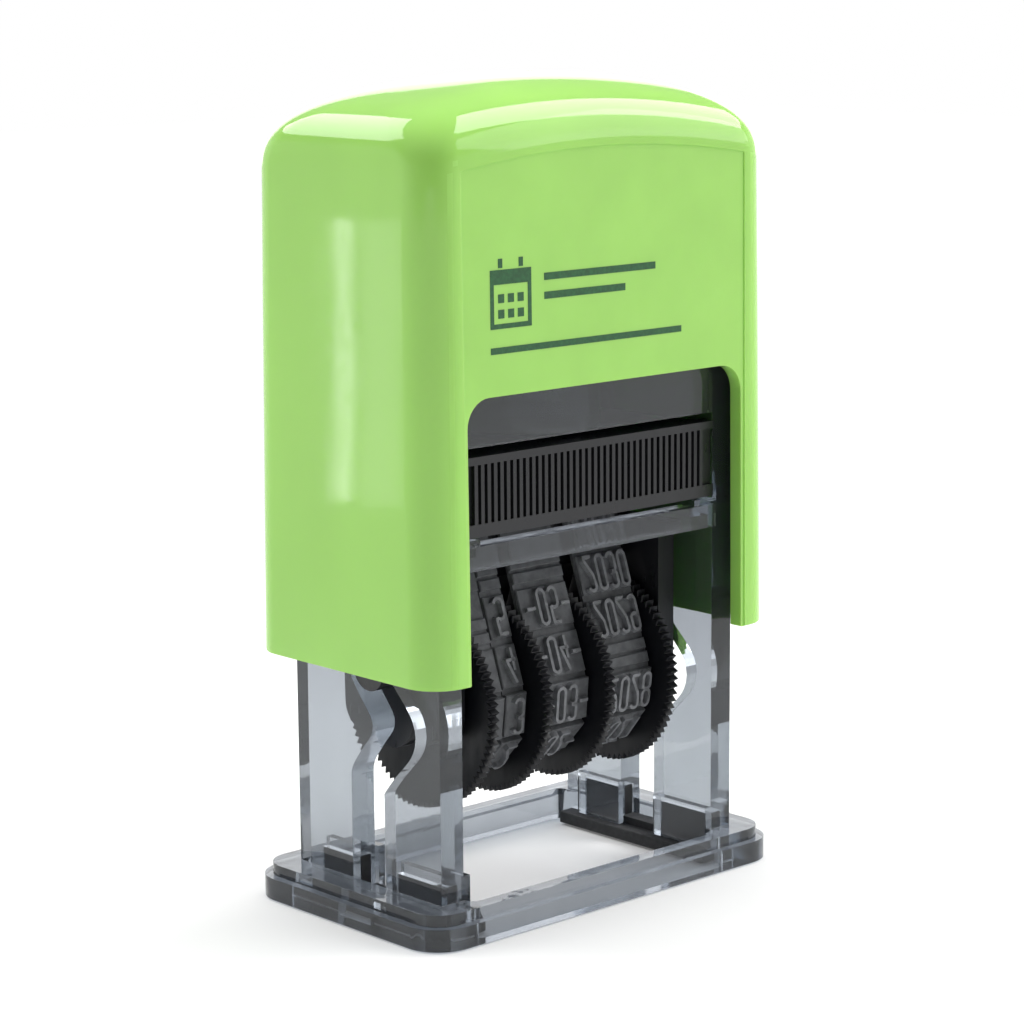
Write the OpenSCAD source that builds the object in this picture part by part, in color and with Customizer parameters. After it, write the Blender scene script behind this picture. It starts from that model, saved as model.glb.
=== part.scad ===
// Self-inking mini band dater.
// Origin: centre of the base underside. +Z is up. The front, with the ink tray, faces -Y.

/* [Cover] */
// Outer width of the cover at its lower edge
cover_w = 34; // [33.6:0.1:36]
// Outer depth of the cover at its lower edge
cover_d = 20; // [19.8:0.1:22]
// Overall height of the stamp at rest
total_h = 59.3; // [59.2:0.1:61]
// Height of the cover's lower edge above the table at rest
cover_lift = 18.3; // [17.9:0.1:18.6]
// Wall thickness of the cover
cover_wall = 1.2; // [1:0.05:1.3]
// Vertical corner radius of the cover
cover_corner_r = 2.6; // [2:0.1:3]
// Half width of the front and rear windows
window_half_w = 13.4; // [13:0.1:13.6]
// Height of the top edge of the front window
window_top = 38; // [37:0.1:39]
// Height of the top edge of the rear window
rear_window_top = 31; // [28:0.5:33]

/* [Frame] */
// Width of the base
base_w = 34.7; // [34.2:0.1:37]
// Depth of the base
base_d = 20.7; // [20.2:0.1:23]
// Height of the base rim
base_h = 2.45; // [2:0.05:2.6]
// Thickness of each leg
leg_t = 2.06; // [2:0.02:2.1]
// Half depth of each leg
leg_half_d = 7.8; // [7.7:0.05:7.9]

/* [Mechanism] */
// Travel of the cover when it is pressed
stroke = 15; // [14:0.25:15]
// Height of the type face at rest, just under the ink felt
type_z = 28; // [27.8:0.1:28]
// Distance from the flip pivot to the guide pin
guide_r = 3.45; // [3.3:0.05:3.5]
// Distance from the flip pivot to the band wheel axle
axle_r = 6.9; // [6.8:0.05:6.9]
// Turns of the return spring
spring_turns = 6; // [5:0.5:6]

/* [Date wheels] */
// Radius of the toothed thumb discs
disc_r = 7.4; // [7:0.1:7.4]
// Number of teeth on a thumb disc
disc_teeth = 80; // [60:1:90]
// Outer radius of a band where it runs round its wheel
band_r = 5.85; // [5.6:0.05:5.9]
// Thickness of a band
band_t = 0.95; // [0.9:0.05:1]

/* [Hidden] */

$fn = 48;
eps = 0.01;              // overlap that makes two solids merge
gap = 0.05;              // clearance between neighbours that don't move

// cover
draft = 0.009;           // inward lean of each side per millimetre of height
roof_h = 5.0;            // height of the curved roof above the straight sides
roof_z = total_h - roof_h;
roof_power_x = 3.2;      // how square the roof's outline is seen from the front
roof_power_y = 2.6;      // the same seen from the side
slice_t = 0.02;          // thickness of one slice of the cover's dome

// frame
leg_out = 14.54;
leg_in = leg_out - leg_t;
open_w = 2 * 12.4;
open_d = 2 * 8.6;
deck_z = 38;
deck_t = 1.4;
leg_top = deck_z + deck_t;
bar_z = 25.8;
bar_h = 1.7;
bar_y = 6.6;             // inner face of the cross bars
bar_out = 8.2;           // outer face of the cross bars
rail_z = 26.6;
rail_h = 1.3;
rail_in = 10.6;
well_r = 5;
well_wall = 0.9;
well_floor = 34.1;
slot_half = 1.8;         // half width of the cam slot

// mechanism
pivot_z = (type_z + stroke) / 2;
axle_z = pivot_z - axle_r;
pin_r = 1.6;
pivot_pin_r = 1.2;
axle_pin_r = 1.2;
run_gap = 0.06;          // radial clearance of a running fit
plate_in = 9.7;
plate_out = 11.3;
layer_in = 11.6;         // layer between carriage plates and legs
layer_out = 12.3;
arm_y0 = 2.7;
arm_y1 = 6.0;
yoke_z = 54.8;
yoke_t = 1.4;

// tray
tray_half_w = 11.35;
tray_front = 8.0;
tray_back = 7.4;
tray_z = type_z + 0.1;
tray_top = 33.7;
felt_half_w = 10.2;
felt_half_d = 6.2;
felt_top = 31;

// band stack, from the left: tens, units, month and year
narrow_w = 2.05;         // width of a single-figure band
wide_w = 5.0;            // width of the month and year bands
disc_t = 0.8;
disc_gap = 0.15;
year_x = 3.5;
month_x = -2.95;
units_x = -6.2;
tens_x = -8.35;
top_r = 1.2;             // radius of the band where it turns over the platen
top_half = 0.7;          // half distance between the two turns

// ---- shared outlines -------------------------------------------------------

// Rectangle centred on the origin with true round corners
module rounded_rect(w, d, r) {
    square([w - 2 * r, d], center = true);
    square([w, d - 2 * r], center = true);
    for (sx = [-1, 1], sy = [-1, 1])
        translate([sx * (w / 2 - r), sy * (d / 2 - r)]) circle(r);
}

// Puts a drawing of the Y-Z plane at the place x and gives it thickness t towards +X
module side_plate(x, t) {
    translate([x, 0, 0]) rotate([90, 0, 90]) linear_extrude(t) children();
}

// Puts a drawing of the X-Z plane at the place y and gives it thickness t towards +Y
module front_plate(y, t) {
    translate([0, y + t, 0]) rotate([90, 0, 0]) linear_extrude(t) children();
}

// Cylinder along X from x0 to x1
module rod_x(x0, x1, z, r, y = 0) {
    translate([x0, y, z]) rotate([0, 90, 0]) cylinder(h = x1 - x0, r = r);
}

// Mirrors what it is given to the other side of the stamp when side is -1
module on_side(side) {
    if (side > 0) children();
    else mirror([1, 0, 0]) children();
}

// ---- cover -----------------------------------------------------------------

// Half size of the cover at the height z: base is the half size at the lower edge, and the
// roof follows a superellipse of the given power
function half_size(base, power, z, wall) =
    let (straight = base - draft * (z - cover_lift) - wall,
         v = min(1, max(0, (z - roof_z) / (roof_h - wall))))
    straight * pow(1 - pow(v, power), 1 / power);

// Closed dome made of level slices of the cover's outline
module cover_body(wall, bottom) {
    slices = 9;
    roof = roof_h - wall - slice_t;
    hull()
        for (i = [0 : slices]) {
            z = i == 0 ? bottom : roof_z + roof * sin(90 * (i - 1) / (slices - 1));
            w = half_size(cover_w / 2, roof_power_x, z, wall);
            d = half_size(cover_d / 2, roof_power_y, z, wall);
            r = min(cover_corner_r - wall * 0.6, d - slice_t);
            translate([0, 0, z]) linear_extrude(slice_t)
                for (sx = [-1, 1], sy = [-1, 1])
                    translate([sx * (w - r), sy * (d - r)]) circle(r, $fn = 24);
        }
}

// Window outline: square below, rounded at its two upper corners
module window_outline(top) {
    r = 2;
    low = cover_lift - 5;
    translate([-window_half_w, low]) square([2 * window_half_w, top - r - low]);
    translate([-window_half_w + r, low]) square([2 * (window_half_w - r), top - low]);
    for (s = [-1, 1]) translate([s * (window_half_w - r), top - r]) circle(r);
}

module cover_shell() {
    color("#a4da6e") {
        difference() {
            cover_body(0, cover_lift);
            cover_body(cover_wall, cover_lift - 1);
            front_plate(-cover_d, cover_d) window_outline(window_top);
            front_plate(0, cover_d) window_outline(rear_window_top);
        }
        // guide ribs that centre the cover on the legs
        for (sx = [0, 1], sy = [-1, 1]) mirror([sx, 0, 0])
            translate([leg_out + 0.2, sy * 6 - 0.5, 24])
                cube([cover_w / 2 - leg_out - 0.9, 1, 26]);
        // posts that carry the yoke
        for (sx = [-1, 1], sy = [-1, 1])
            translate([sx * 9, sy * 3.5, yoke_z + yoke_t])
                cylinder(h = total_h - cover_wall - yoke_z - yoke_t, r = 1.6);
    }
}

// ---- carrier yoke: hangs from the cover and holds the carriage pivots -------

module yoke_arm() {
    translate([layer_in, arm_y0, pivot_z - pin_r])
        cube([layer_out - layer_in, arm_y1 - arm_y0, yoke_z - pivot_z + pin_r + eps]);
    translate([layer_in, 0, pivot_z - pin_r])
        cube([layer_out - layer_in, arm_y0 + eps, 2 * pin_r]);
    rod_x(layer_in, layer_out, pivot_z, pin_r);
    rod_x(plate_in + 0.15, layer_in + eps, pivot_z, pivot_pin_r);
}

module carrier_yoke() {
    color("#24262a") {
        translate([-layer_out, -4.6, yoke_z]) cube([2 * layer_out, 4.6 + arm_y1, yoke_t]);
        translate([0, 0, yoke_z - 2.5]) cylinder(h = 2.5 + eps, r = 3.5);
        for (side = [-1, 1]) on_side(side) yoke_arm();
    }
}

// ---- return spring ----------------------------------------------------------

spring_r = 4.25;
spring_wire = 0.32;
spring_z0 = well_floor + well_wall;
spring_z1 = yoke_z;

// Helical tube computed point by point: rings of points joined by quads
module helix(r, wire, z0, z1, turns) {
    steps = 16 * turns;
    sides = 8;
    rise = (z1 - z0 - 2 * wire - 2 * gap) / steps;
    points = [for (i = [0 : steps], j = [0 : sides - 1])
        let (a = 360 * i / 16, b = 360 * j / sides, q = r + wire * cos(b))
        [q * cos(a), q * sin(a), z0 + gap + wire + rise * i + wire * sin(b)]];
    walls = [for (i = [0 : steps - 1], j = [0 : sides - 1])
        let (k = (j + 1) % sides)
        [i * sides + j, (i + 1) * sides + j, (i + 1) * sides + k, i * sides + k]];
    first = [[for (j = [0 : sides - 1]) j]];
    last = [[for (j = [0 : sides - 1]) steps * sides + sides - 1 - j]];
    polyhedron(points, concat(first, walls, last));
}

module return_spring() {
    color("silver") helix(spring_r, spring_wire, spring_z0, spring_z1, spring_turns);
}

// ---- frame ------------------------------------------------------------------

slot_tip_y = -1.2;       // where the rear wall of the cam slot reaches furthest forward, before rounding
tip_round = 1.1;         // height above and below that tip that is rounded off

// Place of the guide pin in the Y-Z plane when the carriage has turned by a degrees
function guide_path(a) = [-guide_r * sin(a), pivot_z - stroke * a / 180 - guide_r * cos(a)];
// Heading of the slot's rear wall as seen from the path at a
function wall_angle(a) = let (t = guide_path(a + 1) - guide_path(a - 1)) atan2(t[0], -t[1]);
function polar(r, a) = r * [cos(a), sin(a)];

// S-shaped slot that turns the carriage; its straight foot lets the pin in during assembly
module cam_slot() {
    step = 6;
    top_a = wall_angle(0);
    low_a = wall_angle(180);
    mid_z = pivot_z - stroke / 2;
    // the two halves of the rear wall meet at a tip halfway down, which is rounded off
    upper = [for (a = [0 : step : 90])
        let (p = guide_path(a) + polar(slot_half, wall_angle(a)))
        if (p[1] > mid_z + tip_round) p];
    lower = [for (i = [len(upper) - 1 : -1 : 0]) [upper[i][0], 2 * mid_z - upper[i][1]]];
    last = upper[len(upper) - 1];
    tip = [for (t = [1 / 6 : 1 / 6 : 5 / 6])
        t * t * lower[0] + 2 * t * (1 - t) * [slot_tip_y, mid_z] + (1 - t) * (1 - t) * last];
    rear = concat(upper, tip, lower);
    low_turn = [for (i = [2 : -1 : 0]) guide_path(180) + polar(slot_half, low_a * i / 3)];
    front = [for (a = [180 - step : -step : 0]) guide_path(a) - polar(slot_half, wall_angle(a))];
    top_turn = [for (i = [9 : -1 : 1]) guide_path(0) + polar(slot_half, top_a + 180 * i / 10)];
    foot = [[slot_half, -1], [-slot_half, -1], [-slot_half, front[0][1] - 0.3]];
    polygon(concat(rear, low_turn, foot, front, top_turn));
}

// front edge, rear edge and height of the tabs that hold a foot insert in its leg
tabs = [[-7.4, -2.7, 3.6], [1.8, 5.6, 3.8]];
tab_in = 12.85;
tab_out = 13.8;
foot_in = 11.2;
foot_half = 7.4;
foot_h = 0.9;
foot_lift = 0.1;         // the insert sits this far above the table
pad_t = 0.6;             // the leg is this much thicker in front of each tab

// Space that a foot insert fills, grown on all sides
module insert_space(grow) {
    translate([open_w / 2 - 1, -foot_half - grow, -1])
        cube([tab_out + grow - open_w / 2 + 1, 2 * (foot_half + grow), foot_lift + foot_h + grow + 1]);
    for (t = tabs)
        translate([tab_in - grow, t[0] - grow, 0])
            cube([tab_out - tab_in + 2 * grow, t[1] - t[0] + 2 * grow, t[2] + grow]);
}

module leg() {
    difference() {
        union() {
            side_plate(leg_in, leg_t)
                difference() {
                    translate([-leg_half_d, 0]) square([2 * leg_half_d, leg_top]);
                    cam_slot();
                }
            for (t = tabs)
                translate([leg_in - pad_t, t[0] - 0.4, foot_lift + foot_h])
                    cube([pad_t + eps, t[1] - t[0] + 0.8, t[2] - foot_h + 0.5]);
        }
        insert_space(gap);
    }
}

// Ledges that carry the ink tray; a gap is left where the yoke arm passes
module tray_rails() {
    for (y = [[-leg_half_d, 2.3], [arm_y1 + 0.5, leg_half_d]])
        translate([rail_in, y[0], rail_z]) cube([leg_in - rail_in + eps, y[1] - y[0], rail_h]);
}

module frame() {
    color("#7b828c", 0.6) {
        difference() {
            union() {
                linear_extrude(1.6) rounded_rect(base_w, base_d, 2.8);
                linear_extrude(base_h) rounded_rect(base_w - 1.2, base_d - 1.2, 2.2);
            }
            translate([0, 0, -1]) linear_extrude(base_h + 2) rounded_rect(open_w, open_d, 0.8);
            for (side = [-1, 1]) on_side(side) {
                insert_space(gap);
                translate([leg_in - 1, -slot_half, -1]) cube([leg_t + 1, 2 * slot_half, base_h + 2]);
            }
        }
        for (side = [-1, 1]) on_side(side) {
            leg();
            tray_rails();
        }
        // cross bars under the ink tray, front and rear
        for (s = [-1, 1])
            translate([-leg_in - eps, s > 0 ? bar_y : -bar_out, bar_z])
                cube([2 * leg_in + 2 * eps, bar_out - bar_y, bar_h]);
        deck();
    }
}

// Top of the frame: deck with the spring well, slots for the yoke arms and two aprons
module deck() {
    difference() {
        union() {
            translate([-leg_out, -leg_half_d, deck_z]) cube([2 * leg_out, 2 * leg_half_d, deck_t]);
            translate([0, 0, well_floor]) cylinder(h = leg_top - well_floor, r = well_r + well_wall);
            for (s = [-1, 1])
                translate([-leg_in, s > 0 ? leg_half_d - 0.9 : -leg_half_d, 34.3])
                    cube([2 * leg_in, 0.9, deck_z - 34.3 + eps]);
        }
        translate([0, 0, well_floor + well_wall]) cylinder(h = 10, r = well_r);
        for (side = [-1, 1]) on_side(side)
            translate([layer_in - 0.25, arm_y0 - 0.3, deck_z - 1])
                cube([leg_in - layer_in + 0.25, arm_y1 - arm_y0 + 0.6, deck_t + 2]);
    }
}

// ---- foot inserts -----------------------------------------------------------

module foot_insert() {
    hump_h = 0.6;
    color("#26282b")
        translate([0, 0, foot_lift]) {
            translate([foot_in, -foot_half, 0]) cube([open_w / 2 - gap - foot_in, 2 * foot_half, foot_h]);
            translate([open_w / 2 - 1, -foot_half, 0])
                cube([tab_out - open_w / 2 + 1, 2 * foot_half, foot_h]);
            for (t = tabs)
                translate([tab_in, t[0], 0]) cube([tab_out - tab_in, t[1] - t[0], t[2] - foot_lift]);
            translate([tab_in - 0.4, 0.1 - slot_half, foot_h - eps])
                cube([tab_out - tab_in + 0.4, 2 * slot_half - 0.2, hump_h]);
        }
}

module left_foot_insert() on_side(-1) foot_insert();
module right_foot_insert() on_side(1) foot_insert();

// ---- ink tray and felt -------------------------------------------------------

rib_pitch = 0.6;
rib_count = 38;
rib_depth = 0.3;
lip_low = 0.9;           // height of the plain strip under the ribs
lip_high = 0.56;         // height of the plain strip above the ribs

front_half_w = leg_in - 0.12;  // the front of the tray fills the space between the legs
front_t = 1.4;

module ink_tray() {
    color("#1c1d20") {
        translate([-front_half_w, -tray_front + rib_depth, tray_z])
            cube([2 * front_half_w, front_t, tray_top - tray_z]);
        difference() {
            translate([-tray_half_w, -tray_front + rib_depth, tray_z])
                cube([2 * tray_half_w, tray_front - rib_depth + tray_back, tray_top - tray_z]);
            translate([-felt_half_w - gap, -felt_half_d - gap, tray_z - 1])
                cube([2 * (felt_half_w + gap), 2 * (felt_half_d + gap), felt_top + gap - tray_z + 1]);
        }
        // plain strips above and below the thumb ribs
        for (z = [[tray_z, lip_low], [tray_top - lip_high, lip_high]])
            translate([-front_half_w, -tray_front, z[0]]) cube([2 * front_half_w, rib_depth + eps, z[1]]);
        for (i = [0 : rib_count - 1])
            translate([(i - (rib_count - 1) / 2) * rib_pitch - 0.16, -tray_front, tray_z + lip_low - eps])
                cube([0.32, rib_depth + eps, tray_top - tray_z - lip_low - lip_high + 2 * eps]);
        // side ears that slide on the rails
        for (side = [-1, 1]) on_side(side)
            translate([tray_half_w - eps, -leg_half_d + 0.4, tray_z])
                cube([leg_in - 0.12 - tray_half_w, leg_half_d - 0.4 + 1.9, 0.9]);
    }
}

module ink_felt() {
    color("#3a3440")
        translate([-felt_half_w, -felt_half_d, type_z + 0.06])
            cube([2 * felt_half_w, 2 * felt_half_d, felt_top - type_z - 0.06]);
}

// ---- carriage -----------------------------------------------------------------

plate_half = 5;
plate_top = pivot_z + 4.6;
plate_low = axle_z - 2;

// Side plate outline with rounded lower corners
module plate_outline() {
    r = 2;
    translate([-plate_half, plate_low + r]) square([2 * plate_half, plate_top - plate_low - r]);
    translate([-plate_half + r, plate_low]) square([2 * (plate_half - r), r + eps]);
    for (s = [-1, 1]) translate([s * (plate_half - r), plate_low + r]) circle(r);
}

// Hanging lug that carries the guide pin
module lug_outline() {
    w = 2.4;
    low = pivot_z - 9.5 + w;
    translate([-w, low]) square([2 * w, pivot_z - 2.1 - low]);
    translate([0, low]) circle(w);
}

platen_z0 = pivot_z + pivot_pin_r + 0.4;
platen_z1 = type_z - band_t - 0.1;
platen_half = 0.8;

module carriage_plate() {
    color("#202226")
        difference() {
            union() {
                side_plate(plate_in, plate_out - plate_in) plate_outline();
                side_plate(plate_out - eps, layer_out - plate_out + eps) lug_outline();
                rod_x(layer_out - eps, leg_out - 0.2, pivot_z - guide_r, pin_r);
            }
            rod_x(plate_in - 1, plate_out + 0.1, pivot_z, pivot_pin_r + run_gap);
            rod_x(plate_in - 1, plate_out, axle_z, axle_pin_r + 0.02);
            // seat of the platen's end
            translate([plate_in - 1, -platen_half - gap, platen_z0 - gap])
                cube([2, 2 * (platen_half + gap), platen_z1 - platen_z0 + 2 * gap]);
        }
}

module carriage_left_plate() on_side(-1) carriage_plate();
module carriage_right_plate() on_side(1) carriage_plate();

// Bar that backs the bands at the type face
module type_platen() {
    color("#2c2e33")
        translate([-plate_in - 0.9, -platen_half, platen_z0])
            cube([2 * plate_in + 1.8, 2 * platen_half, platen_z1 - platen_z0]);
}

module wheel_axle() {
    color("silver") rod_x(-plate_out + 0.1, plate_out - 0.1, axle_z, axle_pin_r);
}

// ---- date wheels and bands ------------------------------------------------------

// Toothed rim: each tooth is a small triangle on the outline
module disc_outline() {
    depth = 0.45;
    polygon([for (i = [0 : disc_teeth - 1], k = [0, 1])
        let (a = 360 * (i + k / 2) / disc_teeth, r = disc_r - k * depth)
        [r * sin(a), r * cos(a)]]);
}

// Wheel whose drum carries a band from x to x + w; the disc sits on the right or the left
module date_wheel(x, w, disc_right) {
    drum_r = band_r - band_t - 0.1;
    disc_x = disc_right ? x + w + disc_gap : x - disc_gap - disc_t;
    color("#191b20")
        difference() {
            union() {
                rod_x(min(x + 0.05, disc_x), max(x + w - 0.05, disc_x + disc_t), axle_z, drum_r);
                translate([0, 0, axle_z]) side_plate(disc_x, disc_t) disc_outline();
            }
            rod_x(-20, 20, axle_z, axle_pin_r + run_gap);
        }
}

// Outline of a band loop, moved outwards by grow: a wheel circle and two small turns at the top
module loop_outline(grow) {
    low = [0, axle_z];
    high = [top_half, type_z - top_r];
    d = high - low;
    a = atan2(d[1], d[0]) - acos((band_r - top_r) / norm(d));
    n = [cos(a), sin(a)];
    p = low + (band_r + grow) * n;
    q = high + (top_r + grow) * n;
    translate(low) circle(band_r + grow, $fn = 96);
    polygon([p, q, [top_half, type_z + grow], [-top_half, type_z + grow], [-q[0], q[1]], [-p[0], p[1]]]);
    for (s = [-1, 1]) translate([s * top_half, high[1]]) circle(top_r + grow);
}

module date_band(x, w) {
    color("#55585c")
        side_plate(x, w)
            difference() {
                loop_outline(0);
                loop_outline(-band_t);
            }
}

module tens_wheel() date_wheel(tens_x, narrow_w, false);
module units_wheel() date_wheel(units_x, narrow_w, true);
module month_wheel() date_wheel(month_x, wide_w, true);
module year_wheel() date_wheel(year_x, wide_w, true);
module tens_band() date_band(tens_x, narrow_w);
module units_band() date_band(units_x, narrow_w);
module month_band() date_band(month_x, wide_w);
module year_band() date_band(year_x, wide_w);

cover_shell();
carrier_yoke();
return_spring();
frame();
left_foot_insert();
right_foot_insert();
ink_tray();
ink_felt();
carriage_left_plate();
carriage_right_plate();
type_platen();
wheel_axle();
tens_wheel();
units_wheel();
month_wheel();
year_wheel();
tens_band();
units_band();
month_band();
year_band();
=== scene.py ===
"""Looks of the rotary date stamp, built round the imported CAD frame."""
import math

import bmesh
import bpy
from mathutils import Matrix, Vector


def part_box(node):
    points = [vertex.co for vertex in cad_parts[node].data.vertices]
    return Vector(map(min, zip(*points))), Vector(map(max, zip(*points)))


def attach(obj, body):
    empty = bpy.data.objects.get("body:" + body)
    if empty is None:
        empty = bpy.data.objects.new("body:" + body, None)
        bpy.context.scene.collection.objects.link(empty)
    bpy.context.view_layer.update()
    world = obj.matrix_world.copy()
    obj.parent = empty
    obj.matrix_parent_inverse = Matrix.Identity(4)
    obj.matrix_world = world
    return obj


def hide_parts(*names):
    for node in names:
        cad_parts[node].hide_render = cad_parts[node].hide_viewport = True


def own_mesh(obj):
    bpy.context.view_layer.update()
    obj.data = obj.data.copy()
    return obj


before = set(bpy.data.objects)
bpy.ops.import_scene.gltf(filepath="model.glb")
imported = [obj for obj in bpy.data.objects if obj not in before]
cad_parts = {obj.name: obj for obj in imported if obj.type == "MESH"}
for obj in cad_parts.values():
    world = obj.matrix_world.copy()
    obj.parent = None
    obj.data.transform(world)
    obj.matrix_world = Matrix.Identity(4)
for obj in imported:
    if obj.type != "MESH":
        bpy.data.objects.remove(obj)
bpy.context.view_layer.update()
MM = 0.001
WELD = 0.002             # points closer than this are one point, in millimetres
SHARP_ANGLE = 40         # edges that turn by more than this are shaded sharp

# Colours
GREEN = (0.36, 0.70, 0.135)
PRINT_GREEN = (0.010, 0.072, 0.020)
SMOKE = (0.44, 0.465, 0.50)
SMOKE_DEPTH = (0.40, 0.46, 0.52)
SMOKE_DENSITY = 160      # absorption per metre
BLACK = (0.009, 0.0095, 0.012)
WHEEL_BLACK = (0.0045, 0.005, 0.0075)
BAND_GREY = (0.078, 0.082, 0.088)
# lighter copy of the band grey for the figures: painted highlight standing in for the light their raised
# rims catch
FIGURE_HIGHLIGHT_GREY = (0.135, 0.14, 0.15)
FOOT_GREY = (0.016, 0.017, 0.019)
INK_VIOLET = (0.02, 0.014, 0.035)
STEEL = (0.62, 0.62, 0.64)

# Camera: the direction, distance and lens of the reference view
VIEW_TURN = math.radians(42.59)
VIEW_RISE = math.radians(10.43)
VIEW_ROLL = math.radians(0.445)
VIEW_DISTANCE = 0.21736
VIEW_TARGET = Vector((-0.00045, 0, 0.02749))
LENS = 104.66


# ---- small helpers -----------------------------------------------------------

def box_mm(node):
    """Lowest and highest corner of a CAD node in millimetres."""
    low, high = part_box(node)
    return low / MM, high / MM


def add_object(name, verts, faces, body, material, smooth=True):
    """A mesh piece from points in millimetres, riding on a body."""
    mesh = bpy.data.meshes.new(name)
    mesh.from_pydata([Vector(v) * MM for v in verts], [], faces)
    mesh.validate()
    obj = bpy.data.objects.new(name, mesh)
    bpy.context.scene.collection.objects.link(obj)
    fix_normals(obj)
    for polygon in mesh.polygons:
        polygon.use_smooth = smooth
    mesh.materials.append(material)
    if body:
        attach(obj, body)
    return obj


def fix_normals(obj):
    """Makes every face point outwards."""
    bm = bmesh.new()
    bm.from_mesh(obj.data)
    bmesh.ops.recalc_face_normals(bm, faces=bm.faces)
    bm.to_mesh(obj.data)
    bm.free()


def round_edges(obj, width, segments, angle):
    """Bevels the edges that turn by more than angle."""
    bevel = obj.modifiers.new("edge_round", "BEVEL")
    bevel.width = width * MM
    bevel.segments = segments
    bevel.limit_method = "ANGLE"
    bevel.angle_limit = math.radians(angle)


def keep_flats(obj):
    """Shades the large faces of a rounded piece flat."""
    normals = obj.modifiers.new("flat_faces", "WEIGHTED_NORMAL")
    normals.keep_sharp = True


def add_bevel(obj, width, angle=30):
    """Rounds the sharp edges of a piece that this script models."""
    round_edges(obj, width, 2, angle)
    shade_by_angle(obj, SHARP_ANGLE)
    keep_flats(obj)


def shade_by_angle(obj, degrees):
    """Smooth shading with the edges sharper than this marked sharp."""
    mesh = obj.data
    for polygon in mesh.polygons:
        polygon.use_smooth = True
    bm = bmesh.new()
    bm.from_mesh(mesh)
    sharp = math.radians(degrees)
    flags = [e.is_manifold and e.calc_face_angle(0) > sharp for e in bm.edges]
    bm.free()
    attribute = mesh.attributes.get("sharp_edge") or mesh.attributes.new("sharp_edge", "BOOLEAN", "EDGE")
    attribute.data.foreach_set("value", flags)


def bake_modifiers(obj):
    """Replaces a piece's mesh with the result of its modifiers."""
    graph = bpy.context.evaluated_depsgraph_get()
    mesh = bpy.data.meshes.new_from_object(obj.evaluated_get(graph))
    obj.modifiers.clear()
    obj.data = mesh


def cut(obj, cutter):
    """Subtracts a cutter from a piece and deletes the cutter."""
    boolean = obj.modifiers.new("cut", "BOOLEAN")
    boolean.operation = "DIFFERENCE"
    boolean.solver = "EXACT"
    boolean.object = cutter
    bpy.context.view_layer.update()
    bake_modifiers(obj)
    bpy.data.objects.remove(cutter)


def prism_y(name, outline, y0, y1):
    """Closed prism along Y from an outline of (x, z) points."""
    n = len(outline)
    verts = [(x, y0, z) for x, z in outline] + [(x, y1, z) for x, z in outline]
    faces = [tuple(range(n)), tuple(range(2 * n - 1, n - 1, -1))]
    faces += [(i, (i + 1) % n, n + (i + 1) % n, n + i) for i in range(n)]
    return add_object(name, verts, faces, None, bpy.data.materials[0])


def arc(cx, cy, rx, ry, start, end, steps):
    """Points of an elliptic arc; angles in degrees."""
    points = []
    for i in range(steps + 1):
        a = math.radians(start + (end - start) * i / steps)
        points.append((cx + rx * math.cos(a), cy + ry * math.sin(a)))
    return points


# ---- materials ------------------------------------------------------------------

class Nodes:
    """Short names for building a node material."""

    def __init__(self, name):
        self.material = bpy.data.materials.new(name)
        self.material.use_nodes = True
        self.tree = self.material.node_tree
        self.shader = self.tree.nodes["Principled BSDF"]
        self.output = self.tree.nodes["Material Output"]
        self.place = self.node("ShaderNodeTexCoord").outputs["Object"]

    def node(self, kind, **values):
        node = self.tree.nodes.new(kind)
        for key, value in values.items():
            setattr(node, key, value)
        return node

    def link(self, out, into):
        self.tree.links.new(out, into)

    def noise(self, size_mm, detail=3, stretch=None):
        """Noise whose features are about size_mm across."""
        node = self.node("ShaderNodeTexNoise")
        node.inputs["Scale"].default_value = 1 / (size_mm * MM)
        node.inputs["Detail"].default_value = detail
        if stretch:
            mapping = self.node("ShaderNodeMapping")
            mapping.inputs["Scale"].default_value = stretch
            self.link(self.place, mapping.inputs["Vector"])
            self.link(mapping.outputs["Vector"], node.inputs["Vector"])
        else:
            self.link(self.place, node.inputs["Vector"])
        return node.outputs["Fac"]

    def spread(self, value, low, high):
        """Maps the middle of a noise to the range low..high."""
        node = self.node("ShaderNodeMapRange")
        node.inputs["From Min"].default_value = 0.3
        node.inputs["From Max"].default_value = 0.7
        node.inputs["To Min"].default_value = low
        node.inputs["To Max"].default_value = high
        self.link(value, node.inputs["Value"])
        return node.outputs["Result"]

    def mix(self, factor, a, b):
        """Mixes two colours; each is a colour or an output."""
        node = self.node("ShaderNodeMix", data_type="RGBA")
        for key, value in (("Factor", factor), ("A", a), ("B", b)):
            sockets = [s for s in node.inputs if s.name == key and s.enabled]
            socket = sockets[-1] if key != "Factor" else node.inputs[0]
            if isinstance(value, bpy.types.NodeSocket):
                self.link(value, socket)
            else:
                socket.default_value = value if key == "Factor" else (*value, 1)
        return [s for s in node.outputs if s.enabled][0]

    def bump(self, height, depth_mm, strength=1.0, normal=None):
        """Bump from a height, laid over another bump if one is given."""
        node = self.node("ShaderNodeBump")
        node.inputs["Strength"].default_value = strength
        node.inputs["Distance"].default_value = depth_mm * MM
        self.link(height, node.inputs["Height"])
        if normal:
            self.link(normal, node.inputs["Normal"])
        return node.outputs["Normal"]

    def colour(self, value):
        self.link(value, self.shader.inputs["Base Color"])

    def set(self, **values):
        for key, value in values.items():
            self.shader.inputs[key.replace("_", " ")].default_value = value


def shade(colour, factor):
    """A lighter or darker colour."""
    return tuple(c * factor for c in colour)


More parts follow.
